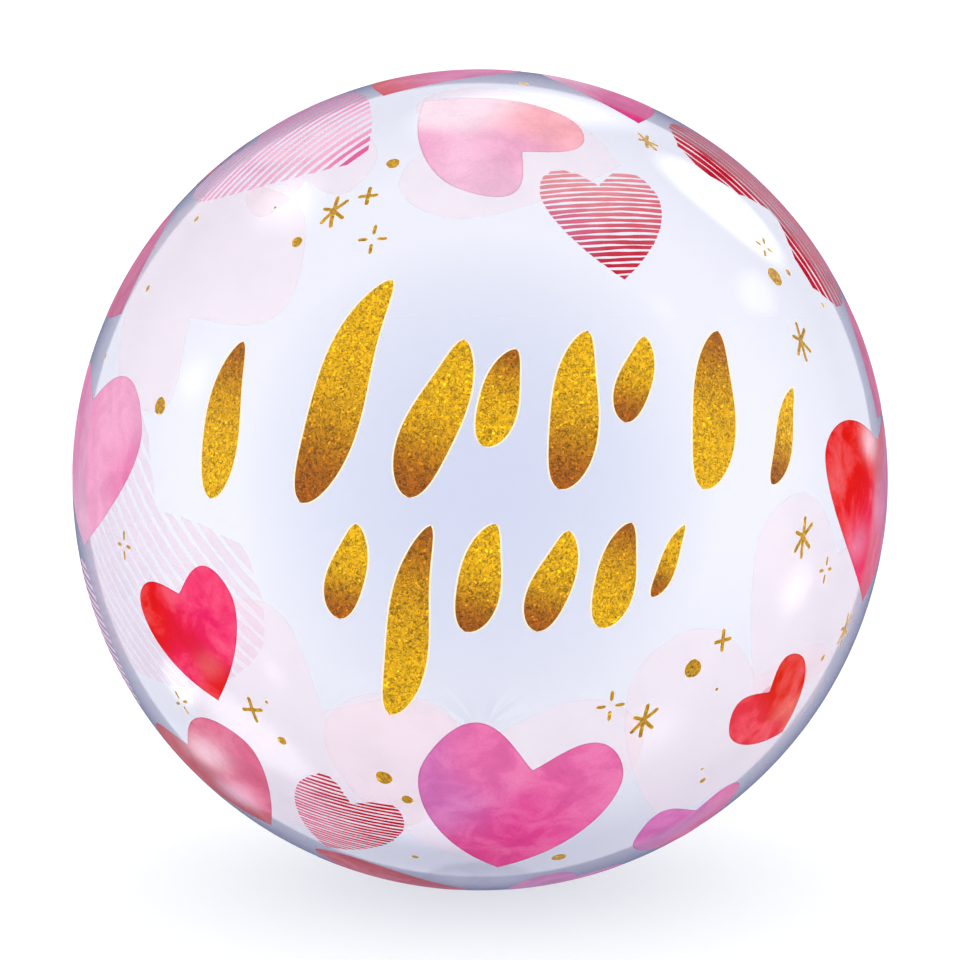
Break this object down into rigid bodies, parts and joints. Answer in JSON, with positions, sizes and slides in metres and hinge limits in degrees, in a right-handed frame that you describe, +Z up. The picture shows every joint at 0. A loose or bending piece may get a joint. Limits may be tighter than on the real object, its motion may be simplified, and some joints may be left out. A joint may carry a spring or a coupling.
{
  "type": "clear bubble balloon",
  "caption": "Clear, see-through ball balloon with a scattered print of hearts, dots and glints, a gathered neck and a flat sealed tail; rests on a small flat spot.",
  "frame": {"origin": "middle of the small flat spot under the ball", "axes": "+Z up through the ball; -Y out of the printed front; the neck points back (+Y) and down"},
  "size_m": [0.5598, 0.5598, 0.561],
  "materials": {
    "film": "glossy, clear"
  },
  "bodies": {
    "root": {"bubble": "film"}
  },
  "joints": []
}
